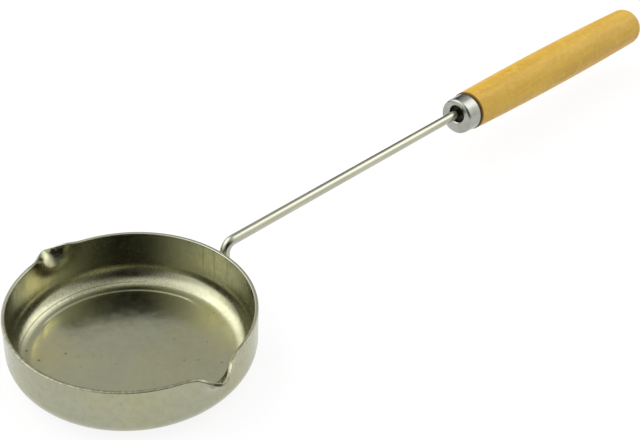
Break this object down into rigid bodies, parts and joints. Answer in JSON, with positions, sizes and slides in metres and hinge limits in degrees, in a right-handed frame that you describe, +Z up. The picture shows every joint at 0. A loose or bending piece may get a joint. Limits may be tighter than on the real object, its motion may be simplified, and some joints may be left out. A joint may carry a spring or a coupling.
{
  "type": "pouring ladle",
  "caption": "Shallow hand ladle with a lip on each side for pouring molten metal, a bent wire shank, a ferrule and a turned wooden handle.",
  "frame": {"origin": "centre of the bowl's flat underside, on the surface the ladle rests on", "axes": "+Z up out of the bowl, +X from the bowl towards the handle, the two pouring lips towards +Y and -Y"},
  "size_m": [0.3341, 0.09, 0.028],
  "materials": {
    "bowl_steel": "polished",
    "wire_steel": "polished",
    "weld_metal": "satin",
    "ferrule_steel": "satin",
    "varnished_wood": "gloss"
  },
  "bodies": {
    "root": {"bowl": "bowl_steel", "shank": "wire_steel", "weld_beads": "weld_metal", "ferrule": "ferrule_steel", "handle": "varnished_wood"}
  },
  "joints": []
}
